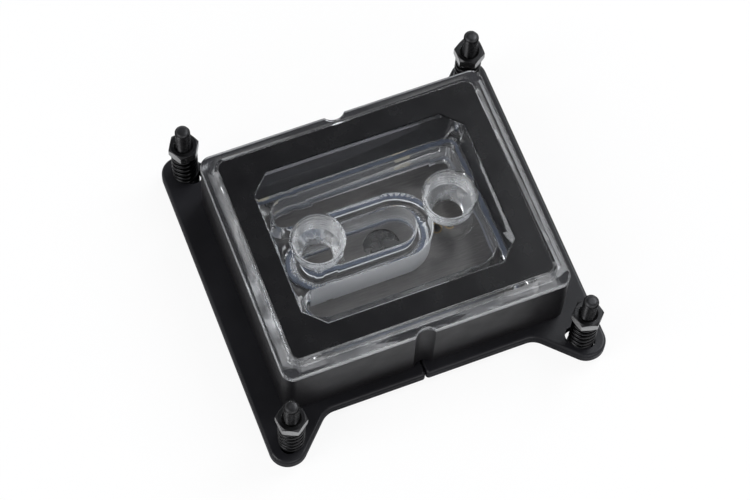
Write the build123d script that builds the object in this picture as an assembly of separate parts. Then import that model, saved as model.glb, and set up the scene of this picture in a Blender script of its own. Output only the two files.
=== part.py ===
"""Clear-top water block for a processor socket, built as separate pieces in millimetres.

The origin is the centre of the flat contact face under the cold plate.
+Z points up through the clear cover, +Y points to the back.
"""
import os

from build123d import *

# Socket bolts: a square pattern, with slots that also reach the neighbouring patterns
BOLT_SPACING = 78.0
SLOT_INNER_REACH = 1.5
SLOT_OUTER_REACH = 1.0
BOLT_D = 4.0
BOLT_THREAD_D = 3.9
BOLT_STICK_OUT = 7.7
BOLT_TIP_CHAMFER = 0.6
BOLT_HEAD_D = 7.0
BOLT_HEAD_H = 2.2
BOLT_HEAD_CHAMFER = 0.4
BOLT_SLOT_CLEARANCE = 0.2
NUT_FLATS = 7.0
NUT_H = 3.0
NUT_CHAMFER = 0.45
NUT_CHAMFER_RUN = 0.68
NUT_COUNTERSINK = 0.45
NUT_TURNS = {"front_left": 0, "front_right": 15, "back_left": 30, "back_right": 0}

# Springs under the nuts
SPRING_OD = 6.8
SPRING_WIRE_D = 1.0
SPRING_LENGTH = 13.4
SPRING_TURNS = 5.6

# Bracket in two halves
BRACKET_BOTTOM_Z = 2.4
BRACKET_T = 3.0
BRACKET_STRIP = 2.85
EAR_SIDE_MARGIN = 6.05
EAR_TIP_MARGIN = 5.5
EAR_REACH = 10.0
EAR_TIP_LENGTH = 7.0
EAR_TIP_R = 4.7
EAR_ROOT_R = 5.0
BRACKET_EDGE_R = 0.8
BRACKET_SEAM = 0.2
BRACKET_SEAM_R = 0.9
BRACKET_OPENING_CLEARANCE = 0.6
MID_X = -1.2

# Cold plate with its cut channels
BODY_GAP = 2.25
BODY_CHAMFER = 4.0
COLD_PLATE_T = 5.6
CHANNEL_COUNT = 39
CHANNEL_PITCH = 0.4
CHANNEL_W = 0.2
CHANNEL_DEPTH = 2.6
CHANNEL_LEFT_X = -8.0
CHANNEL_RIGHT_X = 19.6
COLLECTOR_LENGTH = 6.0

# Gasket, jet plate and seals between the cold plate and the cover
GASKET_T = 0.6
JET_PLATE_T = 0.5
JET_PLATE_LAP = 1.1
JET_HOLE_D = 9.5
RETURN_HOLE_D = 2.3
RETURN_HOLE_GAP = 3.6
RETURN_HOLE_SHIFT = 0.9
SEAL_W = 1.6
SEAL_EDGE_R = 0.4
SEAL_GROOVE_H = 1.3
SEAL_CLEARANCE = 0.1
OUTER_SEAL_SIDE_INSET = 5.0
OUTER_SEAL_FRONT_INSET = 5.9
OUTER_SEAL_W = 1.4
OUTER_SEAL_CORNER_R = 3.5
OUTER_GROOVE_H = 0.9

# Clear cover: total height, rim and trim recess
TOP_Z = 28.8
RIM_DROP = 4.0
LEDGE_DROP = 2.0
RIM_W = 3.85
LIP_W = 1.0
LIP_SLOPE = 0.6
RIM_EDGE_R = 0.45
COVER_SEAT_GAP = 0.05

# Water ports and pockets of the clear cover
PORT_INSET = 7.9
PORT_THREAD_D = 13.157
PORT_THREAD_DEPTH = 7.8
PORT_CHAMFER = 0.5
PORT_BORE_D = 8.0
POCKET_SIDE_WALL = 7.7
POCKET_FRONT_WALL = 9.7
POCKET_CORNER_SHARE = 0.61
POCKET_END_SHARE = 0.357
POCKET_H = 10.4
POCKET_TOP_R = 0.5
ISLAND_SHARE = 0.2616
ISLAND_WALL = 3.7
ISLAND_END_X = 3.5

# Black trim frame round the octagonal window
TRIM_T = 0.8
TRIM_CORNER_R = 2.0
TRIM_SIDE_BORDER = 5.75
TRIM_FRONT_BORDER = 6.0
WINDOW_CHAMFER = 5.05
TRIM_GAP = 0.12
WINDOW_EDGE_CHAMFER = 0.25

# Housing
HOUSING_SIDE_INSET = 1.15
HOUSING_WALL = 2.5
HOUSING_CORNER_R = 3.0
HOUSING_INNER_R = 0.5
GROOVE_CHORD = 5.3
GROOVE_DEPTH = 1.35
BOSS_R = 2.6
BOSS_INSET = 3.5

# Screws
COVER_SCREW_D = 3.0
COVER_SCREW_SIDE_INSET = 4.1
COVER_SCREW_FRONT_INSET = 5.0
COVER_SCREW_L = 10.0
COVER_HOLE_H = 14.0
COVER_HEAD_D = 5.6
COVER_SOCKET = 2.0
BRACKET_SCREW_D = 3.0
BRACKET_SCREW_L = 9.0
BRACKET_HEAD_D = 5.6
BRACKET_SOCKET = 2.0
SCREW_CLEARANCE = 0.2
SCREW_FIT = 0.05

# Light strip on the inside of the back wall
BOARD_END_GAP = 6.35
BOARD_H = 5.0
BOARD_T = 0.8
BOARD_Z = 8.0
LED_SIZE = 4.0
LED_T = 1.1
LED_SHARES = (-0.4138, 0.2362)

# How near two coordinates count as the same place
TOUCH = 1e-3

# Plan sizes that follow from the bolt square, from the bracket inwards
BRACKET_LENGTH = BOLT_SPACING + 2 * EAR_SIDE_MARGIN
EAR_SPAN = BOLT_SPACING + 2 * EAR_TIP_MARGIN
BRACKET_WIDTH = EAR_SPAN - 2 * EAR_REACH
OUTER_LENGTH = BOLT_SPACING - 2 * HOUSING_SIDE_INSET
OUTER_WIDTH = BRACKET_WIDTH - 2 * BRACKET_STRIP
INNER_LENGTH = OUTER_LENGTH - 2 * HOUSING_WALL
INNER_WIDTH = OUTER_WIDTH - 2 * HOUSING_WALL
BOSS_X = OUTER_LENGTH / 2 - BOSS_INSET
BOSS_Y = OUTER_WIDTH / 2 - BOSS_INSET
TRIM_LENGTH = OUTER_LENGTH - 2 * RIM_W
TRIM_WIDTH = OUTER_WIDTH - 2 * RIM_W
WINDOW_LENGTH = TRIM_LENGTH - 2 * TRIM_SIDE_BORDER
WINDOW_WIDTH = TRIM_WIDTH - 2 * TRIM_FRONT_BORDER
BODY_LENGTH = INNER_LENGTH - 2 * BODY_GAP
BODY_WIDTH = INNER_WIDTH - 2 * BODY_GAP
COVER_SCREW_X = BODY_LENGTH / 2 - COVER_SCREW_SIDE_INSET
COVER_SCREW_Y = BODY_WIDTH / 2 - COVER_SCREW_FRONT_INSET
POCKET_LENGTH = BODY_LENGTH - 2 * POCKET_SIDE_WALL
POCKET_WIDTH = BODY_WIDTH - 2 * POCKET_FRONT_WALL
ISLAND_R = POCKET_WIDTH * ISLAND_SHARE
INLET_R = ISLAND_R - ISLAND_WALL
POCKET_ARM_W = POCKET_WIDTH / 2 - ISLAND_R
POCKET_CORNER_R = POCKET_ARM_W * POCKET_CORNER_SHARE
POCKET_END_R = POCKET_ARM_W * POCKET_END_SHARE
PORT_X = POCKET_LENGTH / 2 - PORT_INSET
JET_LENGTH = POCKET_LENGTH + 2 * JET_PLATE_LAP
JET_WIDTH = POCKET_WIDTH + 2 * JET_PLATE_LAP
JET_CORNER_R = POCKET_CORNER_R + JET_PLATE_LAP
OUTER_SEAL_LENGTH = BODY_LENGTH - 2 * OUTER_SEAL_SIDE_INSET
OUTER_SEAL_WIDTH = BODY_WIDTH - 2 * OUTER_SEAL_FRONT_INSET
BOARD_LENGTH = INNER_LENGTH - 2 * BOARD_END_GAP
GROOVE_R = (GROOVE_CHORD**2 / 4 + GROOVE_DEPTH**2) / (2 * GROOVE_DEPTH)

# Heights that follow
BRACKET_TOP_Z = BRACKET_BOTTOM_Z + BRACKET_T
COVER_BOTTOM_Z = COLD_PLATE_T + GASKET_T
POCKET_TOP_Z = COVER_BOTTOM_Z + POCKET_H
LEDGE_Z = TOP_Z - LEDGE_DROP
RIM_BOTTOM_Z = TOP_Z - RIM_DROP
RECESS_Z = TOP_Z - TRIM_T - TRIM_GAP
HOUSING_TOP_Z = RIM_BOTTOM_Z - COVER_SEAT_GAP
NUT_Z = BRACKET_TOP_Z + SPRING_LENGTH

# The four corners, as left or right and front or back
CORNERS = {
    "front_left": (-1, -1),
    "front_right": (1, -1),
    "back_left": (-1, 1),
    "back_right": (1, 1),
}


def at_z(shape, z):
    """Lift a shape to a height."""
    return Pos(0, 0, z) * shape


def slab(sketch, bottom, top):
    """Extrude a flat sketch between two heights."""
    return at_z(extrude(sketch, top - bottom), bottom)


def rod(diameter, bottom, top, x=0, y=0):
    """Upright cylinder between two heights."""
    return Pos(x, y, 0) * slab(Circle(diameter / 2), bottom, top)


def four(place_x, place_y):
    """The four mirrored places of one point."""
    return [(sx * place_x, sy * place_y) for sx, sy in CORNERS.values()]


def body_outline(grow=0.0):
    """Rectangle with cut corners that the cold plate, gasket and cover share."""
    face = Rectangle(BODY_LENGTH + 2 * grow, BODY_WIDTH + 2 * grow)
    return chamfer(face.vertices(), BODY_CHAMFER)


def window_outline(shrink=0.0):
    """Octagonal window of the trim."""
    face = Rectangle(WINDOW_LENGTH - 2 * shrink, WINDOW_WIDTH - 2 * shrink)
    return chamfer(face.vertices(), WINDOW_CHAMFER)


def racetrack(radius):
    """Slot shape that runs from the inlet port towards the middle of the plate."""
    length = ISLAND_END_X + PORT_X
    return Pos(ISLAND_END_X - length / 2, 0) * SlotCenterToCenter(length, 2 * radius)


def outer_outline():
    """Plan of the housing and of the clear rim, with the groove at mid front and mid back."""
    face = RectangleRounded(OUTER_LENGTH, OUTER_WIDTH, HOUSING_CORNER_R)
    groove_y = OUTER_WIDTH / 2 - GROOVE_DEPTH + GROOVE_R
    for side in (-1, 1):
        face -= Pos(MID_X, side * groove_y) * Circle(GROOVE_R)
    return face


def cone_seat(diameter, head_diameter, bottom):
    """Countersunk head: a cone that widens downwards to its flat face."""
    height = (head_diameter - diameter) / 2
    cone = Cone(head_diameter / 2, diameter / 2, height)
    return at_z(cone, bottom + height / 2)


def cold_plate():
    """Base plate with the flat contact face, cut channels and countersunk screw holes."""
    plate = slab(body_outline(), 0, COLD_PLATE_T)
    length = CHANNEL_RIGHT_X - CHANNEL_LEFT_X
    channel = Box(length, CHANNEL_W, CHANNEL_DEPTH)
    channel_z = COLD_PLATE_T - CHANNEL_DEPTH / 2
    middle_x = (CHANNEL_LEFT_X + CHANNEL_RIGHT_X) / 2
    channels = [place * channel for place in GridLocations(CHANNEL_PITCH, CHANNEL_PITCH, 1, CHANNEL_COUNT)]
    plate -= [Pos(middle_x, 0, channel_z) * cut for cut in channels]
    collector = Box(COLLECTOR_LENGTH, CHANNEL_PITCH * CHANNEL_COUNT, CHANNEL_DEPTH)
    plate -= Pos(CHANNEL_RIGHT_X - COLLECTOR_LENGTH / 2, 0, channel_z) * collector
    hole_d = COVER_SCREW_D + 2 * SCREW_CLEARANCE
    head_d = COVER_HEAD_D + 2 * SCREW_CLEARANCE
    for x, y in four(COVER_SCREW_X, COVER_SCREW_Y):
        plate -= rod(hole_d, 0, COLD_PLATE_T, x, y)
        plate -= Pos(x, y, 0) * cone_seat(hole_d, head_d, 0)
    return plate


def jet_plate():
    """Thin sheet over the channels, with the jet hole and two return holes under the outlet."""
    sheet = RectangleRounded(JET_LENGTH, JET_WIDTH, JET_CORNER_R)
    sheet -= Circle(JET_HOLE_D / 2)
    for side in (-1, 1):
        hole_x = PORT_X - RETURN_HOLE_SHIFT + side * RETURN_HOLE_GAP / 2
        sheet -= Pos(hole_x, 0) * Circle(RETURN_HOLE_D / 2)
    return slab(sheet, COLD_PLATE_T, COLD_PLATE_T + JET_PLATE_T)


def outer_seal_outline(grow=0.0):
    """Rounded rectangle round the outer seal."""
    length = OUTER_SEAL_LENGTH + 2 * grow
    width = OUTER_SEAL_WIDTH + 2 * grow
    return RectangleRounded(length, width, OUTER_SEAL_CORNER_R + grow)


def outer_seal_ring(grow=0.0):
    """Plan of the outer seal, or of its groove when grown by the clearance."""
    return outer_seal_outline(grow) - outer_seal_outline(-OUTER_SEAL_W - grow)


def outer_seal():
    """Rubber ring round both pockets, between the cold plate and a groove of the cover."""
    ring = slab(outer_seal_ring(), COLD_PLATE_T, COVER_BOTTOM_Z + OUTER_GROOVE_H - SEAL_CLEARANCE)
    flats = ring.faces().filter_by(Plane.XY)
    return fillet(flats.edges(), SEAL_EDGE_R)


def outer_gasket():
    """Flat rubber gasket outside the outer seal."""
    sheet = body_outline() - outer_seal_outline(SEAL_CLEARANCE)
    for x, y in four(COVER_SCREW_X, COVER_SCREW_Y):
        sheet -= Pos(x, y) * Circle(COVER_SCREW_D / 2 + SCREW_CLEARANCE)
    return slab(sheet, COLD_PLATE_T, COVER_BOTTOM_Z)


def seal_ring(width):
    """Flat ring midway in the wall between the inlet pocket and the outlet pocket."""
    middle = (ISLAND_R + INLET_R) / 2
    return racetrack(middle + width / 2) - racetrack(middle - width / 2)


def inlet_seal():
    """Seal between the inlet pocket and the outlet pocket, with rounded edges."""
    bottom = COLD_PLATE_T + JET_PLATE_T
    top = COVER_BOTTOM_Z + SEAL_GROOVE_H - SEAL_CLEARANCE
    ring = slab(seal_ring(SEAL_W), bottom, top)
    return fillet(ring.edges().filter_by(GeomType.CIRCLE), SEAL_EDGE_R)


def outlet_pocket_outline():
    """Pocket that runs round the inlet wall: back arm, right end and front arm."""
    face = RectangleRounded(POCKET_LENGTH, POCKET_WIDTH, POCKET_CORNER_R)
    wall = racetrack(ISLAND_R)
    wall += Pos(-PORT_X - POCKET_LENGTH / 2, 0) * Rectangle(POCKET_LENGTH, 2 * ISLAND_R)
    face -= wall
    left_x = -POCKET_LENGTH / 2
    sharp = [v for v in face.vertices() if abs(v.X - left_x) < TOUCH and abs(abs(v.Y) - ISLAND_R) < TOUCH]
    return fillet(sharp, POCKET_END_R)


def pocket(outline):
    """Milled pocket, open below, with a rounded edge round its ceiling."""
    cut = slab(outline, COVER_BOTTOM_Z, POCKET_TOP_Z)
    ceiling = cut.faces().sort_by(Axis.Z)[-1]
    return fillet(ceiling.edges(), POCKET_TOP_R)


def clear_cover():
    """Clear block with its stepped rim, trim recess, two ports and the two pockets."""
    cover = slab(body_outline(), COVER_BOTTOM_Z, LEDGE_Z)
    flange = slab(outer_outline(), RIM_BOTTOM_Z, LEDGE_Z)
    flange = fillet(flange.faces().sort_by(Axis.Z)[-1].edges(), RIM_EDGE_R)
    foot_w = LIP_W + LIP_SLOPE
    foot = RectangleRounded(TRIM_LENGTH + 2 * foot_w, TRIM_WIDTH + 2 * foot_w, TRIM_CORNER_R + foot_w)
    lip = RectangleRounded(TRIM_LENGTH + 2 * LIP_W, TRIM_WIDTH + 2 * LIP_W, TRIM_CORNER_R + LIP_W)
    plateau = loft([at_z(foot, LEDGE_Z), at_z(lip, TOP_Z)])
    cover += flange + plateau
    recess = RectangleRounded(TRIM_LENGTH + 2 * TRIM_GAP, TRIM_WIDTH + 2 * TRIM_GAP, TRIM_CORNER_R + TRIM_GAP)
    window = slab(window_outline(TRIM_GAP), RECESS_Z, TOP_Z)
    window = chamfer(window.faces().sort_by(Axis.Z)[-1].edges(), WINDOW_EDGE_CHAMFER)
    cover -= slab(recess, RECESS_Z, TOP_Z) - window
    cover -= pocket(outlet_pocket_outline())
    cover -= pocket(racetrack(INLET_R))
    cover -= slab(seal_ring(SEAL_W + 2 * SEAL_CLEARANCE), COVER_BOTTOM_Z, COVER_BOTTOM_Z + SEAL_GROOVE_H)
    cover -= slab(outer_seal_ring(SEAL_CLEARANCE), COVER_BOTTOM_Z, COVER_BOTTOM_Z + OUTER_GROOVE_H)
    for x in (-PORT_X, PORT_X):
        cover -= rod(PORT_THREAD_D, TOP_Z - PORT_THREAD_DEPTH, TOP_Z, x)
        cover -= rod(PORT_BORE_D, POCKET_TOP_Z - POCKET_TOP_R, TOP_Z, x)
        mouth = Cone(PORT_THREAD_D / 2, PORT_THREAD_D / 2 + PORT_CHAMFER, PORT_CHAMFER)
        cover -= Pos(x, 0, TOP_Z - PORT_CHAMFER / 2) * mouth
    hole_d = COVER_SCREW_D + 2 * SCREW_FIT
    for x, y in four(COVER_SCREW_X, COVER_SCREW_Y):
        cover -= rod(hole_d, COVER_BOTTOM_Z, COVER_BOTTOM_Z + COVER_HOLE_H, x, y)
        cover -= Pos(x, y, COVER_BOTTOM_Z + COVER_HOLE_H) * Sphere(hole_d / 2)
    return cover


def trim_frame():
    """Black frame that lies in the recess round the octagonal window."""
    frame = RectangleRounded(TRIM_LENGTH, TRIM_WIDTH, TRIM_CORNER_R) - window_outline()
    return slab(frame, TOP_Z - TRIM_T, TOP_Z)


def housing():
    """Black wall round the clear block, with screw bosses in its corners."""
    inner = RectangleRounded(INNER_LENGTH, INNER_WIDTH, HOUSING_INNER_R)
    wall = outer_outline() - inner
    for x, y in four(BOSS_X, BOSS_Y):
        wall += Pos(x, y) * Circle(BOSS_R)
    wall = wall & outer_outline()
    shell = slab(wall, BRACKET_TOP_Z, HOUSING_TOP_Z)
    for x, y in four(BOSS_X, BOSS_Y):
        shell -= rod(BRACKET_SCREW_D + 2 * SCREW_FIT, BRACKET_TOP_Z, BRACKET_TOP_Z + BRACKET_SCREW_L, x, y)
    return shell


def bracket_outline():
    """Plan of both bracket halves together: side strips, ears and the opening for the block."""
    tip_x = BRACKET_LENGTH / 2 - EAR_TIP_LENGTH
    root_x = tip_x - (EAR_SPAN - BRACKET_WIDTH) / 2
    side_x = BRACKET_LENGTH / 2
    tip_y = EAR_SPAN / 2
    strip_y = BRACKET_WIDTH / 2
    quarter = [(root_x, strip_y), (tip_x, tip_y), (side_x, tip_y)]
    points = quarter + [(x, -y) for x, y in reversed(quarter)]
    points += [(-x, -y) for x, y in quarter] + [(-x, y) for x, y in reversed(quarter)]
    face = make_face(Polyline(*points, close=True))
    tips = [v for v in face.vertices() if abs(abs(v.Y) - tip_y) < TOUCH]
    face = fillet(tips, EAR_TIP_R)
    roots = [v for v in face.vertices() if abs(abs(v.Y) - strip_y) < TOUCH and abs(abs(v.X) - root_x) < TOUCH]
    face = fillet(roots, EAR_ROOT_R)
    face -= body_outline(BRACKET_OPENING_CLEARANCE)
    slot_middle = BOLT_SPACING / 2 + (SLOT_OUTER_REACH - SLOT_INNER_REACH) / 2
    slot_run = (SLOT_OUTER_REACH + SLOT_INNER_REACH) * 2**0.5
    for sx, sy in CORNERS.values():
        slot = SlotCenterToCenter(slot_run, BOLT_D + 2 * BOLT_SLOT_CLEARANCE)
        face -= Pos(sx * slot_middle, sy * slot_middle) * Rot(0, 0, 45 * sx * sy) * slot
    return face


def bracket_half(side):
    """One half of the bracket, left (-1) or right (1), with rounded upper edges."""
    reach = BRACKET_LENGTH
    inner_x = MID_X + side * BRACKET_SEAM / 2
    half_plane = Pos(inner_x + side * reach / 2, 0) * Rectangle(reach, 2 * EAR_SPAN)
    face = bracket_outline() & half_plane
    strip_y = BRACKET_WIDTH / 2
    seam = [v for v in face.vertices() if abs(v.X - inner_x) < TOUCH and abs(abs(v.Y) - strip_y) < TOUCH]
    face = fillet(seam, BRACKET_SEAM_R)
    plate = slab(face, BRACKET_BOTTOM_Z, BRACKET_TOP_Z)
    top = plate.faces().sort_by(Axis.Z)[-1]
    plate = fillet(top.outer_wire().edges(), BRACKET_EDGE_R)
    hole_d = BRACKET_SCREW_D + 2 * SCREW_CLEARANCE
    head_d = BRACKET_HEAD_D + 2 * SCREW_CLEARANCE
    for y in (-BOSS_Y, BOSS_Y):
        plate -= rod(hole_d, BRACKET_BOTTOM_Z, BRACKET_TOP_Z, side * BOSS_X, y)
        plate -= Pos(side * BOSS_X, y, 0) * cone_seat(hole_d, head_d, BRACKET_BOTTOM_Z)
    return plate


def countersunk_screw(diameter, head_diameter, socket_flats, bottom, length):
    """Countersunk screw that points up, with a hexagon socket in its head."""
    height = (head_diameter - diameter) / 2
    screw = rod(diameter, bottom + height / 2, bottom + length) + cone_seat(diameter, head_diameter, bottom)
    socket = RegularPolygon(socket_flats / 3**0.5, 6)
    return screw - slab(socket, bottom, bottom + height)


def cover_screws():
    """Four screws that hold the cold plate under the clear cover."""
    screw = countersunk_screw(COVER_SCREW_D, COVER_HEAD_D, COVER_SOCKET, SCREW_CLEARANCE, COVER_SCREW_L)
    return Compound([Pos(x, y, 0) * screw for x, y in four(COVER_SCREW_X, COVER_SCREW_Y)])


def bracket_screws():
    """Four screws that hold the bracket halves under the housing."""
    bottom = BRACKET_BOTTOM_Z + SCREW_CLEARANCE
    screw = countersunk_screw(BRACKET_SCREW_D, BRACKET_HEAD_D, BRACKET_SOCKET, bottom, BRACKET_SCREW_L)
    return Compound([Pos(x, y, 0) * screw for x, y in four(BOSS_X, BOSS_Y)])


def led_board():
    """Light strip on the inside of the back wall."""
    y = INNER_WIDTH / 2 - BOARD_T / 2
    return Pos(0, y, BOARD_Z) * Box(BOARD_LENGTH, BOARD_T, BOARD_H)


def leds():
    """Light-emitting packages on the strip, facing the clear block."""
    y = INNER_WIDTH / 2 - BOARD_T - LED_T / 2
    places = [share * BOARD_LENGTH for share in LED_SHARES]
    return Compound([Pos(x, y, BOARD_Z) * Box(LED_SIZE, LED_T, LED_SIZE) for x in places])


def mounting_bolt():
    """Turned bolt, from its free threaded end down to the head under the bracket."""
    top = NUT_Z + NUT_H + BOLT_STICK_OUT
    bottom = BRACKET_BOTTOM_Z - BOLT_HEAD_H
    end_r = BOLT_THREAD_D / 2
    shank_r = BOLT_D / 2
    head_r = BOLT_HEAD_D / 2
    profile = [
        (0, top),
        (end_r - BOLT_TIP_CHAMFER, top),
        (end_r, top - BOLT_TIP_CHAMFER),
        (end_r, NUT_Z + NUT_H),
        (shank_r, NUT_Z + NUT_H),
        (shank_r, BRACKET_BOTTOM_Z),
        (head_r, BRACKET_BOTTOM_Z),
        (head_r, bottom + BOLT_HEAD_CHAMFER),
        (head_r - BOLT_HEAD_CHAMFER, bottom),
        (0, bottom),
    ]
    return revolve(make_face(Plane.XZ * Polyline(*profile, close=True)), Axis.Z)


def hex_nut():
    """Hexagon nut with its corners turned off and its hole countersunk at both ends."""
    corner_r = NUT_FLATS / 3**0.5
    hole_r = BOLT_D / 2 + SCREW_FIT
    nut = slab(RegularPolygon(corner_r, 6, rotation=30), NUT_Z, NUT_Z + NUT_H)
    blank = rod(2 * corner_r, NUT_Z, NUT_Z + NUT_H)
    ends = blank.edges().filter_by(GeomType.CIRCLE)
    nut = nut & chamfer(ends, NUT_CHAMFER, NUT_CHAMFER_RUN)
    nut -= rod(2 * hole_r, NUT_Z, NUT_Z + NUT_H)
    nut -= cone_seat(2 * hole_r, 2 * (hole_r + NUT_COUNTERSINK), NUT_Z)
    mouth = Cone(hole_r, hole_r + NUT_COUNTERSINK, NUT_COUNTERSINK)
    return nut - at_z(mouth, NUT_Z + NUT_H - NUT_COUNTERSINK / 2)


def spring():
    """Coil spring between the bracket and the nut."""
    mean_r = (SPRING_OD - SPRING_WIRE_D) / 2
    height = SPRING_LENGTH - SPRING_WIRE_D
    path = Helix(height / SPRING_TURNS, height, mean_r)
    section = Plane(path @ 0, z_dir=path % 0) * Circle(SPRING_WIRE_D / 2)
    coil = sweep(section, path=path, is_frenet=True)
    return at_z(coil, BRACKET_TOP_Z + SPRING_WIRE_D / 2)


def all_pieces():
    """Every piece by its node name."""
    pieces = {
        "cold_plate": cold_plate(),
        "jet_plate": jet_plate(),
        "outer_gasket": outer_gasket(),
        "outer_seal": outer_seal(),
        "inlet_seal": inlet_seal(),
        "clear_cover": clear_cover(),
        "trim_frame": trim_frame(),
        "housing": housing(),
        "led_board": led_board(),
        "leds": leds(),
        "bracket_left": bracket_half(-1),
        "bracket_right": bracket_half(1),
        "bracket_screws": bracket_screws(),
        "cover_screws": cover_screws(),
    }
    for name, (sx, sy) in CORNERS.items():
        place = Pos(sx * BOLT_SPACING / 2, sy * BOLT_SPACING / 2, 0)
        pieces["bolt_" + name] = place * mounting_bolt()
        pieces["nut_" + name] = place * Rot(0, 0, NUT_TURNS[name]) * hex_nut()
        pieces["spring_" + name] = place * spring()
    return pieces


def main():
    os.makedirs("parts", exist_ok=True)
    for name, piece in all_pieces().items():
        export_step(piece, f"parts/{name}.step")


main()
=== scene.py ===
import math

import bmesh
import bpy
from mathutils import Matrix, Vector


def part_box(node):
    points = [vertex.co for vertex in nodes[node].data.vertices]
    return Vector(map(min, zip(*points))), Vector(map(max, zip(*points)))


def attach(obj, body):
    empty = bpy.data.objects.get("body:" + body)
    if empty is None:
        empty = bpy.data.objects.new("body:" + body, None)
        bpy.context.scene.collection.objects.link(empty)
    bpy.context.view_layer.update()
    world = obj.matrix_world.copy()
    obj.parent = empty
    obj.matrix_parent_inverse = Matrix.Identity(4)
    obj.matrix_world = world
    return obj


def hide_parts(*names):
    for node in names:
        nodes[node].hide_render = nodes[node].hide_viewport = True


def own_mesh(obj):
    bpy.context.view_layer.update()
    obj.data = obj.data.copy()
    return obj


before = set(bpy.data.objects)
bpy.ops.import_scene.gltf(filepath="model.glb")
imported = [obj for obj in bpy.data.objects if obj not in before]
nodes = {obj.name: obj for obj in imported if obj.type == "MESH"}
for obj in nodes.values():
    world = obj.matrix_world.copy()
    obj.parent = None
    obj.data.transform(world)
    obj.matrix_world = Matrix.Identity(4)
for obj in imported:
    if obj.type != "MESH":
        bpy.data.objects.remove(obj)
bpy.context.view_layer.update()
scene = bpy.context.scene


# Sizes of the solids in millimetres

MM = 0.001
CORNERS = {
    "front_left": (-39.0, -39.0),
    "front_right": (39.0, -39.0),
    "back_left": (-39.0, 39.0),
    "back_right": (39.0, 39.0),
}
BOLT_TOP = 29.5
BOLT_END_Z = 29.02
NUT_LOW, NUT_HIGH = 18.8, 21.8
NUT_SINK_R = 2.5
SPRING_LOW = 5.4
PORT_X, PORT_R = 17.5, 6.5785
PORT_LOW, PORT_HIGH = 21.0, 28.3
COVER_FOOT = 6.2
RETURN_HOLES = [(14.8, 0.0, 6.1), (18.4, 0.0, 6.1)]

# Turn of each nut in degrees, as in the photograph

NUT_TURNS = {"front_left": 5.0, "front_right": 15.0, "back_left": 30.0, "back_right": 0.0}


# Node helpers

NOISE_LOW, NOISE_HIGH = 0.3, 0.7


def new_material(name):
    """A node material with its tree and its main shader."""
    mat = bpy.data.materials.new(name)
    mat.use_nodes = True
    tree = mat.node_tree
    return mat, tree, tree.nodes["Principled BSDF"]


def add(tree, kind, **settings):
    """Add a shader node and set its plain settings."""
    node = tree.nodes.new(kind)
    for key, value in settings.items():
        setattr(node, key, value)
    return node


def place(tree, scale=(1, 1, 1), turn=0.0):
    """Coordinates of the piece in metres, stretched and turned about Z."""
    coords = add(tree, "ShaderNodeTexCoord")
    mapping = add(tree, "ShaderNodeMapping")
    mapping.inputs["Scale"].default_value = scale
    mapping.inputs["Rotation"].default_value = (0, 0, turn)
    tree.links.new(coords.outputs["Object"], mapping.inputs["Vector"])
    return mapping.outputs["Vector"]


def noise(tree, size, detail, stretch=(1, 1, 1), turn=0.0):
    """Noise whose main feature is about size metres wide."""
    node = add(tree, "ShaderNodeTexNoise")
    node.inputs["Scale"].default_value = 1.0 / size
    node.inputs["Detail"].default_value = detail
    node.inputs["Roughness"].default_value = 0.5
    tree.links.new(place(tree, stretch, turn), node.inputs["Vector"])
    return node.outputs["Fac"]


def remap(tree, value, low, high, out_low, out_high):
    """Map one range of a value to another."""
    node = add(tree, "ShaderNodeMapRange")
    node.inputs["From Min"].default_value = low
    node.inputs["From Max"].default_value = high
    node.inputs["To Min"].default_value = out_low
    node.inputs["To Max"].default_value = out_high
    tree.links.new(value, node.inputs["Value"])
    return node.outputs["Result"]


def ramp(tree, value, stops):
    """Colour ramp from (position, colour) stops."""
    node = add(tree, "ShaderNodeValToRGB")
    elements = node.color_ramp.elements
    while len(elements) < len(stops):
        elements.new(0.5)
    for element, (position, colour) in zip(elements, stops):
        element.position = position
        element.color = (*colour, 1.0)
    tree.links.new(value, node.inputs["Fac"])
    return node.outputs["Color"]


def mottle(tree, size, detail, dark, light, low=NOISE_LOW, high=NOISE_HIGH):
    """Colour that wanders from dark to light over about size metres."""
    return ramp(tree, noise(tree, size, detail), [(low, dark), (high, light)])


def uneven(tree, size, detail, out_low, out_high):
    """Value that wanders between two limits over about size metres."""
    return remap(tree, noise(tree, size, detail), NOISE_LOW, NOISE_HIGH, out_low, out_high)


def blend(tree, factor, first, second):
    """Blend two colours by a factor."""
    node = add(tree, "ShaderNodeMix", data_type="RGBA")
    tree.links.new(factor, node.inputs["Factor"])
    tree.links.new(first, node.inputs["A"])
    tree.links.new(second, node.inputs["B"])
    return node.outputs["Result"]


def show_mix(tree, factor, first, second):
    """Show a mix of two shaders as the surface."""
    mix = add(tree, "ShaderNodeMixShader")
    tree.links.new(factor, mix.inputs["Fac"])
    tree.links.new(first, mix.inputs[1])
    tree.links.new(second, mix.inputs[2])
    tree.links.new(mix.outputs["Shader"], tree.nodes["Material Output"].inputs["Surface"])


def bump(tree, height, strength, distance, normal=None):
    """Bump from a height, on top of another normal if there is one."""
    node = add(tree, "ShaderNodeBump")
    node.inputs["Strength"].default_value = strength
    node.inputs["Distance"].default_value = distance
    tree.links.new(height, node.inputs["Height"])
    if normal is not None:
        tree.links.new(normal, node.inputs["Normal"])
    return node.outputs["Normal"]


def soft_edge(tree, radius):
    """Normal that rounds the edges of the piece."""
    node = add(tree, "ShaderNodeBevel", samples=6)
    node.inputs["Radius"].default_value = radius
    return node.outputs["Normal"]


def edge_mask(tree, radius):
    """Value that rises along the edges of the piece."""
    geometry = add(tree, "ShaderNodeNewGeometry")
    dot = add(tree, "ShaderNodeVectorMath", operation="DOT_PRODUCT")
    tree.links.new(soft_edge(tree, radius), dot.inputs[0])
    tree.links.new(geometry.outputs["Normal"], dot.inputs[1])
    return remap(tree, dot.outputs["Value"], 1.0, 0.8, 0.0, 1.0)


# Kinds of material


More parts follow.
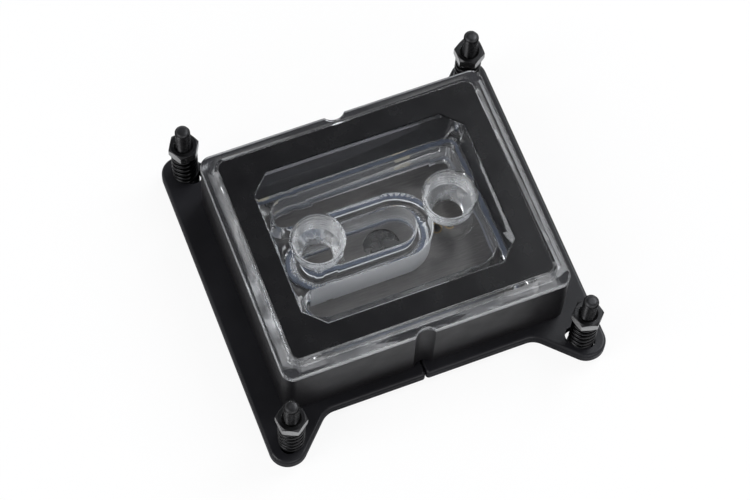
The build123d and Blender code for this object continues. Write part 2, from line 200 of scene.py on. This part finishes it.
def coated_black(name, dark, light, rough, grain, depth, edge, shine, edge_wear_and_highlight=2.2):
    """Black coat or moulding: fine grain, slow change of tone and lighter edges, partly rubbed wear and
    partly painted highlight.
    """
    mat, tree, shader = new_material(name)
    shader.inputs["Specular IOR Level"].default_value = shine
    worn_and_highlit = [c * edge_wear_and_highlight for c in light]
    coat = mottle(tree, 0.018, 3.0, dark, light, 0.35, 0.7)
    worn_and_highlit_edge = mottle(tree, 0.0012, 2.0, light, worn_and_highlit, 0.4, 0.65)
    # Lighter colour along the edges: worn coat and painted highlight.
    colour = blend(tree, edge_mask(tree, edge), coat, worn_and_highlit_edge)
    tree.links.new(colour, shader.inputs["Base Color"])
    tree.links.new(uneven(tree, 0.006, 4.0, *rough), shader.inputs["Roughness"])
    normal = bump(tree, noise(tree, grain, 2.0), 0.35, depth, soft_edge(tree, edge))
    tree.links.new(normal, shader.inputs["Normal"])
    return mat


def dull_sides(mat, low, high):
    """Less shine on upright faces than on level ones."""
    tree = mat.node_tree
    geometry = add(tree, "ShaderNodeNewGeometry")
    parts = add(tree, "ShaderNodeSeparateXYZ")
    tree.links.new(geometry.outputs["Normal"], parts.inputs["Vector"])
    level = remap(tree, parts.outputs["Z"], 0.2, 0.9, low, high)
    tree.links.new(level, tree.nodes["Principled BSDF"].inputs["Specular IOR Level"])


def black_steel(name, dark, light, roughness, turn_marks, edge_wear_and_highlight=1.8):
    """Blackened steel with fine turning marks and brighter edges, partly rubbed wear and partly painted
    highlight.
    """
    mat, tree, shader = new_material(name)
    shader.inputs["Metallic"].default_value = 0.95
    worn_and_highlit = [min(1.0, c * edge_wear_and_highlight) for c in light]
    black = mottle(tree, 0.0016, 4.0, dark, light, 0.35, 0.7)
    bright = mottle(tree, 0.0005, 2.0, light, worn_and_highlit, 0.35, 0.6)
    # Brighter colour along the edges: rubbed wear and painted highlight.
    colour = blend(tree, edge_mask(tree, 0.12 * MM), black, bright)
    tree.links.new(colour, shader.inputs["Base Color"])
    rough = uneven(tree, 0.0011, 3.0, roughness - 0.03, roughness + 0.05)
    tree.links.new(rough, shader.inputs["Roughness"])
    marks = noise(tree, 0.0003, 2.0, turn_marks)
    normal = bump(tree, marks, 0.2, 0.000006, soft_edge(tree, 0.1 * MM))
    tree.links.new(normal, shader.inputs["Normal"])
    return mat


def acrylic(name, roughness, marks, depth, stretch, milky=0.0, tint=(0.985, 0.992, 1.0)):
    """Clear acrylic: lamps shine through it, fine marks break its surface and cut faces are milky."""
    mat, tree, shader = new_material(name)
    shader.inputs["Base Color"].default_value = (*tint, 1.0)
    shader.inputs["IOR"].default_value = 1.49
    shader.inputs["Transmission Weight"].default_value = 1.0 - milky
    rough = uneven(tree, 0.004, 4.0, roughness * 0.7, roughness * 1.3)
    tree.links.new(rough, shader.inputs["Roughness"])
    normal = bump(tree, noise(tree, marks, 3.0, stretch), 0.3, depth)
    tree.links.new(normal, shader.inputs["Normal"])
    path = add(tree, "ShaderNodeLightPath")
    clear = add(tree, "ShaderNodeBsdfTransparent")
    clear.inputs["Color"].default_value = (0.9, 0.91, 0.92, 1.0)
    show_mix(tree, path.outputs["Is Shadow Ray"], shader.outputs["BSDF"], clear.outputs["BSDF"])
    return mat


def brushed_metal(name, dark, light, roughness, along, scratch_turn):
    """Sheet metal with a brushed grain and a second set of slanted scratches."""
    mat, tree, shader = new_material(name)
    shader.inputs["Metallic"].default_value = 1.0
    grain = noise(tree, 0.0006, 4.0, along)
    scratches = noise(tree, 0.0005, 2.0, (0.06, 2.2, 1), scratch_turn)
    both = add(tree, "ShaderNodeMath", operation="ADD")
    tree.links.new(grain, both.inputs[0])
    tree.links.new(remap(tree, scratches, 0.55, 0.75, 0.0, 0.5), both.inputs[1])
    height = both.outputs["Value"]
    tree.links.new(ramp(tree, height, [(0.3, dark), (0.8, light)]), shader.inputs["Base Color"])
    rough = uneven(tree, 0.005, 4.0, roughness - 0.08, roughness + 0.08)
    tree.links.new(rough, shader.inputs["Roughness"])
    tree.links.new(bump(tree, height, 0.25, 0.00003), shader.inputs["Normal"])
    return mat


def overlay(mat, factor, colour):
    """Lay a colour over a material's own colour by a factor."""
    tree = mat.node_tree
    base = tree.nodes["Principled BSDF"].inputs["Base Color"]
    under = base.links[0].from_socket
    tree.links.new(blend(tree, factor, under, colour), base)


def brass_rings(mat, places, radius, width):
    """Thin brass-coloured rings on a plate, about points given in millimetres."""
    tree = mat.node_tree
    for x, y, z in places:
        far = add(tree, "ShaderNodeVectorMath", operation="DISTANCE")
        tree.links.new(place(tree), far.inputs[0])
        far.inputs[1].default_value = (x * MM, y * MM, z * MM)
        off = add(tree, "ShaderNodeMath", operation="SUBTRACT")
        tree.links.new(far.outputs["Value"], off.inputs[0])
        off.inputs[1].default_value = radius * MM
        near = add(tree, "ShaderNodeMath", operation="ABSOLUTE")
        tree.links.new(off.outputs["Value"], near.inputs[0])
        on_ring = remap(tree, near.outputs["Value"], width * MM, width * MM / 2, 0.0, 1.0)
        brass = mottle(tree, 0.0008, 2.0, (0.24, 0.17, 0.085), (0.36, 0.27, 0.14))
        overlay(mat, on_ring, brass)


def painted_shade_above(mat, low, high, share):
    """Darken a plate from one height to another: painted shade inside the recess above it."""
    tree = mat.node_tree
    parts = add(tree, "ShaderNodeSeparateXYZ")
    tree.links.new(place(tree), parts.inputs["Vector"])
    shade_share = remap(tree, parts.outputs["Z"], low * MM, high * MM, 0.0, share)
    shade_colour = mottle(tree, 0.003, 3.0, (0.02, 0.019, 0.018), (0.045, 0.042, 0.038), 0.35, 0.65)
    overlay(mat, shade_share, shade_colour)


def rubber(name, dark, light):
    """Matt rubber with a fine moulded skin."""
    mat, tree, shader = new_material(name)
    tree.links.new(mottle(tree, 0.002, 4.0, dark, light), shader.inputs["Base Color"])
    tree.links.new(uneven(tree, 0.001, 3.0, 0.5, 0.7), shader.inputs["Roughness"])
    tree.links.new(bump(tree, noise(tree, 0.0002, 2.0), 0.3, 0.00003), shader.inputs["Normal"])
    return mat


def speckled(name, dark, light, roughness, size):
    """Small moulded or coated part with a faint speckle."""
    mat, tree, shader = new_material(name)
    tree.links.new(mottle(tree, size, 4.0, dark, light), shader.inputs["Base Color"])
    rough = uneven(tree, size * 2, 3.0, roughness - 0.08, roughness + 0.08)
    tree.links.new(rough, shader.inputs["Roughness"])
    normal = bump(tree, noise(tree, size / 2, 2.0), 0.2, 0.00002, soft_edge(tree, 0.1 * MM))
    tree.links.new(normal, shader.inputs["Normal"])
    return mat


# Black materials

TRIM = coated_black(
    "trim_black",
    dark=(0.0045, 0.0045, 0.005),
    light=(0.0065, 0.0065, 0.0072),
    rough=(0.22, 0.3),
    grain=0.00025,
    depth=0.000012,
    edge=0.05 * MM,
    shine=0.34,
)
HOUSING = coated_black(
    "housing_black",
    dark=(0.0072, 0.0069, 0.0077),
    light=(0.0108, 0.0104, 0.0116),
    rough=(0.34, 0.44),
    grain=0.0003,
    depth=0.00003,
    edge=0.15 * MM,
    shine=0.18,
)
BRACKET = coated_black(
    "bracket_black",
    dark=(0.008, 0.008, 0.0095),
    light=(0.013, 0.013, 0.0155),
    rough=(0.3, 0.4),
    grain=0.0004,
    depth=0.00004,
    edge=0.25 * MM,
    shine=0.3,
    # The bracket's edges are lightened most: painted highlight along its rims, with some wear.
    edge_wear_and_highlight=6.0,
)
dull_sides(BRACKET, 0.02, 0.3)
BOLT = black_steel("bolt_black", (0.014, 0.014, 0.0145), (0.024, 0.024, 0.025), 0.24, (1, 1, 3))
# The bolt's tip gets a lighter, rougher copy of the black steel: painted light on its end.
BOLT_END = black_steel("bolt_end_painted_light", (0.038, 0.038, 0.039), (0.055, 0.055, 0.057), 0.42, (3, 3, 1))
# The nut's flats and its top and chamfers get two copies of one black steel, the flats lighter and the top
# darker: painted light and painted shade.
NUT = black_steel("nut_flats", (0.2, 0.2, 0.2), (0.26, 0.26, 0.255), 0.2, (1, 1, 4))
NUT_TOP_SHADE = black_steel("nut_top_painted_shade", (0.03, 0.03, 0.031), (0.045, 0.045, 0.046), 0.3, (1, 1, 4), 2.5)
SPRING = black_steel("spring_black", (0.01, 0.01, 0.0105), (0.02, 0.02, 0.0205), 0.16, (2, 2, 2))


# Finishes of the acrylic

EVEN = (1, 1, 1)
TURNED = (1, 1, 2)
MILL_MARKS = (0.12, 0.12, 2.5)
CLEAR = acrylic("acrylic_clear", 0.015, 0.006, 0.000004, EVEN)
MILLED = acrylic("acrylic_milled", 0.2, 0.0008, 0.00004, MILL_MARKS, 0.88)
THREAD = acrylic("acrylic_thread", 0.26, 0.0004, 0.00001, TURNED, 0.11, (0.84, 0.85, 0.86))
WALL = acrylic("acrylic_wall", 0.06, 0.0008, 0.00001, MILL_MARKS, 0.1)
# The rim's underside is tinted near black: painted shade in the gap below it.
UNDER = acrylic("acrylic_underside", 0.05, 0.0006, 0.000005, EVEN, 0.62, (0.05, 0.05, 0.053))
SOFT = acrylic("acrylic_soft", 0.14, 0.0008, 0.00003, MILL_MARKS, 0.1)
SIDE = acrylic("acrylic_side", 0.05, 0.0008, 0.00001, MILL_MARKS, 0.05, (0.75, 0.76, 0.78))
EDGE = acrylic("acrylic_edge", 0.2, 0.0008, 0.00001, MILL_MARKS, 0.4)


# Materials of the pieces inside

NICKEL = brushed_metal("cold_plate_nickel", (0.3, 0.295, 0.285), (0.4, 0.395, 0.38), 0.28, (0.05, 3, 1), 0.7)
# Painted shade on the upper part of the cold plate, seen through the jet plate's hole.
painted_shade_above(NICKEL, 2.4, 3.4, 0.22)
JET = brushed_metal("jet_plate_steel", (0.108, 0.103, 0.098), (0.16, 0.154, 0.147), 0.36, (0.2, 3, 1), 0.9)
brass_rings(JET, RETURN_HOLES, radius=1.32, width=0.3)
SCREW = brushed_metal("screw_steel", (0.3, 0.3, 0.3), (0.5, 0.5, 0.5), 0.3, (1, 1, 3), 0.3)
GASKET = rubber("gasket_black", (0.008, 0.008, 0.009), (0.016, 0.016, 0.017))
SEAL = rubber("seal_blue_grey", (0.05, 0.062, 0.09), (0.075, 0.09, 0.125))
# The board is white, dimmed to a grey here: painted shade.
BOARD = speckled("board_white", (0.4, 0.4, 0.39), (0.48, 0.48, 0.47), 0.45, 0.0008)
LED = speckled("led_yellow", (0.72, 0.64, 0.46), (0.86, 0.78, 0.58), 0.35, 0.0006)


def paint(obj, *materials):
    """Give an object its own list of materials."""
    obj.data.materials.clear()
    for mat in materials:
        obj.data.materials.append(mat)


for node_name, mat in {
    "trim_frame": TRIM,
    "housing": HOUSING,
    "bracket_left": BRACKET,
    "bracket_right": BRACKET,
    "cold_plate": NICKEL,
    "jet_plate": JET,
    "outer_gasket": GASKET,
    "outer_seal": SEAL,
    "inlet_seal": SEAL,
    "led_board": BOARD,
    "leds": LED,
    "bracket_screws": SCREW,
    "cover_screws": SCREW,
}.items():
    paint(nodes[node_name], mat)


# Mesh helpers


def finish_piece(name, bm, body, node, slot, *materials):
    """Make an object of a mesh, let it ride on a body and stand for its CAD node."""
    bmesh.ops.recalc_face_normals(bm, faces=bm.faces)
    mesh = bpy.data.meshes.new(name)
    bm.to_mesh(mesh)
    bm.free()
    obj = bpy.data.objects.new(name, mesh)
    scene.collection.objects.link(obj)
    paint(obj, *materials)
    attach(obj, body)
    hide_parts(node)
    return obj


def shade(obj, angle):
    """Smooth shading with sharp edges above an angle."""
    obj.data.shade_smooth()
    obj.data.set_sharp_from_angle(angle=math.radians(angle))


def ring(bm, radius_at, z_at, count, x, y):
    """Ring of vertices about an upright axis, in millimetres."""
    verts = []
    for i in range(count):
        angle = 2 * math.pi * i / count
        r = radius_at(angle)
        place_mm = Vector((x + r * math.cos(angle), y + r * math.sin(angle), z_at(angle)))
        verts.append(bm.verts.new(place_mm * MM))
    return verts


def level_ring(bm, radius, z, count, x, y):
    """Level circle of vertices about an upright axis, in millimetres."""
    return ring(bm, lambda a: radius, lambda a: z, count, x, y)


def skin(bm, lower, upper):
    """Quads between two rings of the same count."""
    count = len(lower)
    for i in range(count):
        j = (i + 1) % count
        bm.faces.new((lower[i], lower[j], upper[j], upper[i]))


def wave(phase):
    """Flat-topped thread form between 0 and 1."""
    t = phase % 1.0
    return min(1.0, max(0.0, 2.4 * (abs(t - 0.5) * 2.0) - 0.7))


def hexagon(flats, angle, turn=0.0):
    """Radius of a hexagon at an angle, from half its width over flats."""
    local = (angle - turn + math.pi / 6) % (math.pi / 3) - math.pi / 6
    return flats / math.cos(local)


# Bolts, nuts and springs


def bolt_mesh(x, y):
    """Bolt with a rolled thread, a chamfered tip and a head with a hexagon socket."""
    bm = bmesh.new()
    count, steps_per_pitch = 40, 7
    pitch, crest, root, shank = 0.7, 1.95, 1.62, 2.0
    thread_low, thread_high, tip_r = 9.0, 29.0, 1.35
    head = [(3.0, 0.2), (3.45, 0.5), (3.5, 0.7), (3.5, 2.2), (3.42, 2.38), (shank, 2.4), (shank, thread_low)]
    tip = [(1.62, 29.05), (1.45, 29.3), (1.22, 29.45), (0.6, 29.49)]
    socket_rows = [(1.5, 0.2), (1.25, 0.4), (1.25, 1.5)]
    rings = [level_ring(bm, r, z, count, x, y) for r, z in head]
    z = thread_low + 0.1
    while z < thread_high:
        fade = min(1.0, z - thread_low)

        def radius_at(angle, z=z, fade=fade):
            depth = wave(z / pitch - angle / (2 * math.pi)) * (crest - root)
            limit = tip_r + (BOLT_TOP - z)
            return min(shank + (root + depth - shank) * fade, limit)

        rings.append(ring(bm, radius_at, lambda a, z=z: z, count, x, y))
        z += pitch / steps_per_pitch
    rings += [level_ring(bm, r, z, count, x, y) for r, z in tip]
    for lower, upper in zip(rings, rings[1:]):
        skin(bm, lower, upper)
    bm.faces.new(rings[-1])
    socket = []
    for flats, z in socket_rows:
        socket.append(ring(bm, lambda a, r=flats: hexagon(r, a), lambda a, z=z: z, count, x, y))
    skin(bm, socket[0], rings[0])
    skin(bm, socket[1], socket[0])
    skin(bm, socket[2], socket[1])
    bm.faces.new(socket[2])
    return bm


def nut_mesh(x, y, turn):
    """Hexagon nut with turned-off corners and a countersunk hole, turned by degrees."""
    bm = bmesh.new()
    count, flats = 72, 3.5
    chamfer_r, slope = 3.36, 0.66
    hole_r, sink = 2.05, 0.45

    def outline(angle):
        return hexagon(flats, angle, math.radians(turn))

    def high(angle):
        return NUT_HIGH - max(0.0, outline(angle) - chamfer_r) * slope

    def low(angle):
        return NUT_LOW + max(0.0, outline(angle) - chamfer_r) * slope

    rings = [
        level_ring(bm, hole_r, NUT_LOW + sink, count, x, y),
        level_ring(bm, NUT_SINK_R, NUT_LOW, count, x, y),
        level_ring(bm, chamfer_r, NUT_LOW, count, x, y),
        ring(bm, outline, low, count, x, y),
        ring(bm, outline, high, count, x, y),
        level_ring(bm, chamfer_r, NUT_HIGH, count, x, y),
        level_ring(bm, NUT_SINK_R, NUT_HIGH, count, x, y),
        level_ring(bm, hole_r, NUT_HIGH - sink, count, x, y),
    ]
    for lower, upper in zip(rings, rings[1:] + rings[:1]):
        skin(bm, lower, upper)
    return bm


def spring_mesh(x, y, turn):
    """Coil spring with a closed turn at each end, from its foot to the nut."""
    bm = bmesh.new()
    wire, mean = 0.5, 2.9
    turns, closed, per_turn, around = 6.4, 0.8, 44, 12
    start, rise = SPRING_LOW + wire, NUT_LOW - SPRING_LOW - 2 * wire
    closed_rise = closed * 2.06 * wire
    active = (rise - 2 * closed_rise) / (turns - 2 * closed)

    def height(t):
        if t < closed:
            return start + t / closed * closed_rise
        if t > turns - closed:
            return start + rise - (turns - t) / closed * closed_rise
        return start + closed_rise + (t - closed) * active

    rings = []
    steps = int(turns * per_turn)
    for i in range(steps + 1):
        t = turns * i / steps
        angle = 2 * math.pi * t + turn
        out = Vector((math.cos(angle), math.sin(angle), 0))
        centre = Vector((x, y, height(t))) + out * mean
        section = []
        for k in range(around):
            b = 2 * math.pi * k / around
            offset = out * math.cos(b) + Vector((0, 0, math.sin(b)))
            section.append(bm.verts.new((centre + offset * wire) * MM))
        rings.append(section)
    for lower, upper in zip(rings, rings[1:]):
        skin(bm, lower, upper)
    bm.faces.new(rings[0])
    bm.faces.new(rings[-1])
    return bm


for corner, (x, y) in CORNERS.items():
    body = "sprung_bolt_" + corner
    bm = bolt_mesh(x, y)
    bolt = finish_piece("threaded_bolt_" + corner, bm, body, "bolt_" + corner, "black_bolt", BOLT, BOLT_END)
    for face in bolt.data.polygons:
        # Faces of the tip take the lighter copy: painted light.
        face.material_index = 1 if face.center.z > BOLT_END_Z * MM else 0
    shade(bolt, 40)
    bm = nut_mesh(x, y, NUT_TURNS[corner])
    nut = finish_piece("hexagon_nut_" + corner, bm, body, "nut_" + corner, "black_nut", NUT, NUT_TOP_SHADE)
    for face in nut.data.polygons:
        out = math.hypot(face.center.x / MM - x, face.center.y / MM - y)
        # Top and chamfer faces take the darker copy: painted shade.
        face.material_index = 1 if abs(face.normal.z) > 0.3 and out > NUT_SINK_R else 0
    shade(nut, 25)
    bm = spring_mesh(x, y, math.radians(NUT_TURNS[corner] * 2))
    spring = finish_piece("coil_spring_" + corner, bm, "block", "spring_" + corner, "spring_steel", SPRING)
    shade(spring, 60)
    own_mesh(spring)


# Clear cover with its port threads

AIR_GAP = 0.03
CEILING_Z = 16.7
POCKET_X, POCKET_Y = 25.6, 17.4
TRACK_LEFT, TRACK_RIGHT = -17.5, 3.5
INLET_R, ISLAND_R = 6.0, 9.2
RIM_UNDER_Z, SIDE_TOP_Z, RIM_EDGE_Z = 24.8, 24.7, 26.5
WINDOW_LOW_Z, WINDOW_HIGH_Z = 27.85, 28.6
WINDOW_X, WINDOW_Y = 28.6, 22.2
COVER_FINISHES = [CLEAR, MILLED, THREAD, WALL, UNDER, SOFT, TRIM, SIDE, EDGE]


def cut_port_thread(bm, centre_x):
    """Put a cut thread in place of the plain wall of one port."""
    pitch, crest, count, steps_per_pitch = 1.337, 5.78, 96, 9
    plain, fade_low, fade_high = 0.2, 0.8, 0.9
    close = 0.02

    def on_wall(vert):
        out = math.hypot(vert.co.x / MM - centre_x, vert.co.y / MM)
        return abs(out - PORT_R) < close and PORT_LOW - close < vert.co.z / MM < PORT_HIGH + close

    wall = [f for f in bm.faces if all(on_wall(v) for v in f.verts)]
    wall = [f for f in wall if abs(f.normal.z) < 0.3]
    bmesh.ops.delete(bm, geom=wall, context="FACES")
    edges = [e for e in bm.edges if e.is_boundary and all(on_wall(v) for v in e.verts)]
    lower_edges = [e for e in edges if max(v.co.z for v in e.verts) / MM < PORT_LOW + 0.1]
    upper_edges = [e for e in edges if min(v.co.z for v in e.verts) / MM > PORT_HIGH - 0.1]
    rings = []
    z = PORT_LOW + 0.25
    while z < PORT_HIGH - plain:
        fade = min(1.0, (z - PORT_LOW - plain) / fade_low, (PORT_HIGH - plain - z) / fade_high)

        def radius_at(angle, z=z, fade=fade):
            cut = wave(z / pitch - angle / (2 * math.pi))
            return PORT_R - (PORT_R - crest) * (1.0 - cut) * max(0.0, fade)

        rings.append(ring(bm, radius_at, lambda a, z=z: z, count, centre_x, 0.0))
        z += pitch / steps_per_pitch
    for lower, upper in zip(rings, rings[1:]):
        skin(bm, upper, lower)
    for loop, rim in ((lower_edges, rings[0]), (upper_edges, rings[-1])):
        own = [bm.edges.get((rim[i], rim[(i + 1) % count])) for i in range(count)]
        bmesh.ops.bridge_loops(bm, edges=loop + own)


def cover_mesh():
    """The cover's own surface with threaded ports and a thin gap of air under its foot."""
    bm = bmesh.new()
    bm.from_mesh(nodes["clear_cover"].data)
    bmesh.ops.remove_doubles(bm, verts=bm.verts, dist=1e-7)
    for vert in bm.verts:
        if abs(vert.co.z / MM - COVER_FOOT) < 0.01:
            vert.co.z += AIR_GAP * MM
    for side in (-1, 1):
        cut_port_thread(bm, side * PORT_X)
    return bm


def cover_finish(face):
    """The material of a face of the cover."""
    x, y, z = face.center / MM
    steep = abs(face.normal.z) < 0.8
    port = math.hypot(abs(x) - PORT_X, y)
    track = math.hypot(max(TRACK_LEFT - x, x - TRACK_RIGHT, 0.0), y)
    if port < 6.7 and CEILING_Z < z < 28.35:
        return THREAD
    if z < CEILING_Z and abs(x) < POCKET_X and abs(y) < POCKET_Y:
        if not steep or (face.normal.y > 0.1 and track < ISLAND_R):
            return CLEAR
        if track < INLET_R:
            return SOFT
        return MILLED if track < ISLAND_R else WALL
    if abs(z - RIM_UNDER_Z) < 0.02 and face.normal.z < -0.8:
        return UNDER
    in_window = abs(x) < WINDOW_X and abs(y) < WINDOW_Y and port > 7.5
    if steep and WINDOW_LOW_Z < z < WINDOW_HIGH_Z and in_window:
        return TRIM
    if steep and z < SIDE_TOP_Z:
        return SIDE
    if steep and z < RIM_EDGE_Z and (abs(x) > rim_x - 0.3 or abs(y) > rim_y - 0.3):
        return EDGE
    return CLEAR


rim_x, rim_y = [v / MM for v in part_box("clear_cover")[1][:2]]
bm = cover_mesh()
cover = finish_piece("cover_with_threads", bm, "block", "clear_cover", "clear_acrylic", *COVER_FINISHES)
for face in cover.data.polygons:
    face.material_index = COVER_FINISHES.index(cover_finish(face))
shade(cover, 30)
weighted = cover.modifiers.new("weighted", "WEIGHTED_NORMAL")
weighted.keep_sharp = True
weighted.weight = 100


# Floor, world and lamps

SKY = [
    (0.0, (0.85, 0.85, 0.85)),
    (0.35, (0.7, 0.7, 0.72)),
    (0.7, (0.17, 0.17, 0.185)),
    (1.0, (0.11, 0.11, 0.125)),
]
LAMP_AIM = Vector((0, 0, 0.015))


def white_floor():
    """Pale floor that shows white to the camera and keeps a faint shadow."""
    bpy.ops.mesh.primitive_plane_add(size=6.0, location=(0, 0, -0.0001))
    floor = bpy.context.object
    floor.name = "studio_floor"
    mat, tree, shader = new_material("floor_white")
    shader.inputs["Base Color"].default_value = (0.92, 0.92, 0.92, 1.0)
    shader.inputs["Roughness"].default_value = 0.9
    path = add(tree, "ShaderNodeLightPath")
    share = add(tree, "ShaderNodeMath", operation="MULTIPLY")
    tree.links.new(path.outputs["Is Camera Ray"], share.inputs[0])
    share.inputs[1].default_value = 0.9
    glow = add(tree, "ShaderNodeEmission")
    glow.inputs["Color"].default_value = (1.0, 1.0, 1.0, 1.0)
    glow.inputs["Strength"].default_value = 1.0
    show_mix(tree, share.outputs["Value"], shader.outputs["BSDF"], glow.outputs["Emission"])
    floor.data.materials.append(mat)


def studio_world():
    """White walls up to a darker ceiling."""
    world = bpy.data.worlds.new("studio")
    world.use_nodes = True
    tree = world.node_tree
    scene.world = world
    coords = add(tree, "ShaderNodeTexCoord")
    parts = add(tree, "ShaderNodeSeparateXYZ")
    tree.links.new(coords.outputs["Generated"], parts.inputs["Vector"])
    tree.links.new(ramp(tree, parts.outputs["Z"], SKY), tree.nodes["Background"].inputs["Color"])
    tree.nodes["Background"].inputs["Strength"].default_value = 1.0


def softbox(name, direction, distance, size, power, colour=(1, 1, 1), through=True):
    """Soft lamp that looks at the object from a direction, seen through the acrylic or not."""
    light = bpy.data.lights.new(name, "AREA")
    light.shape = "RECTANGLE"
    light.size, light.size_y = size
    light.energy = power
    light.color = colour
    lamp = bpy.data.objects.new(name, light)
    scene.collection.objects.link(lamp)
    way = Vector(direction).normalized()
    lamp.location = LAMP_AIM + way * distance
    lamp.rotation_euler = way.to_track_quat("Z", "Y").to_euler()
    lamp.visible_transmission = through


white_floor()
studio_world()
softbox("lamp_right", (0.62, 0.2, 0.76), 1.2, (0.7, 0.7), 9.0, colour=(0.95, 0.97, 1.0))
softbox("lamp_left", (-0.75, -0.1, 0.65), 1.3, (0.6, 0.9), 8.0)
softbox("lamp_front", (0.1, -0.85, 0.5), 1.4, (1.0, 0.5), 4.5, through=False)


# Camera


def photo_camera():
    """Camera at the place that was fitted to the photograph."""
    azimuth, elevation, roll = math.radians(-25.1313), math.radians(66.1123), math.radians(4.3038)
    distance, shift_x, shift_y, aim_z = 632.511, -2.3186, -8.2711, 28.8
    focal_pixels, image_width, sensor_width = 2562.77, 750.0, 36.0
    level = math.cos(elevation)
    back = Vector((math.sin(azimuth) * level, -math.cos(azimuth) * level, math.sin(elevation)))
    flat = Vector((math.cos(azimuth), math.sin(azimuth), 0))
    rise = back.cross(flat)
    right = flat * math.cos(roll) + rise * math.sin(roll)
    up = rise * math.cos(roll) - flat * math.sin(roll)
    place_mm = Vector((0, 0, aim_z)) + right * shift_x + up * shift_y + back * distance
    data = bpy.data.cameras.new("photo_camera")
    data.sensor_width = sensor_width
    data.lens = focal_pixels * sensor_width / image_width
    data.clip_start = 0.01
    camera = bpy.data.objects.new("photo_camera", data)
    scene.collection.objects.link(camera)
    matrix = Matrix((right, up, back)).transposed().to_4x4()
    matrix.translation = place_mm * MM
    camera.matrix_world = matrix
    scene.camera = camera


photo_camera()
scene.view_settings.view_transform = "Standard"
scene.cycles.max_bounces = 24
scene.cycles.transmission_bounces = 24
scene.cycles.glossy_bounces = 12
scene.cycles.transparent_max_bounces = 24
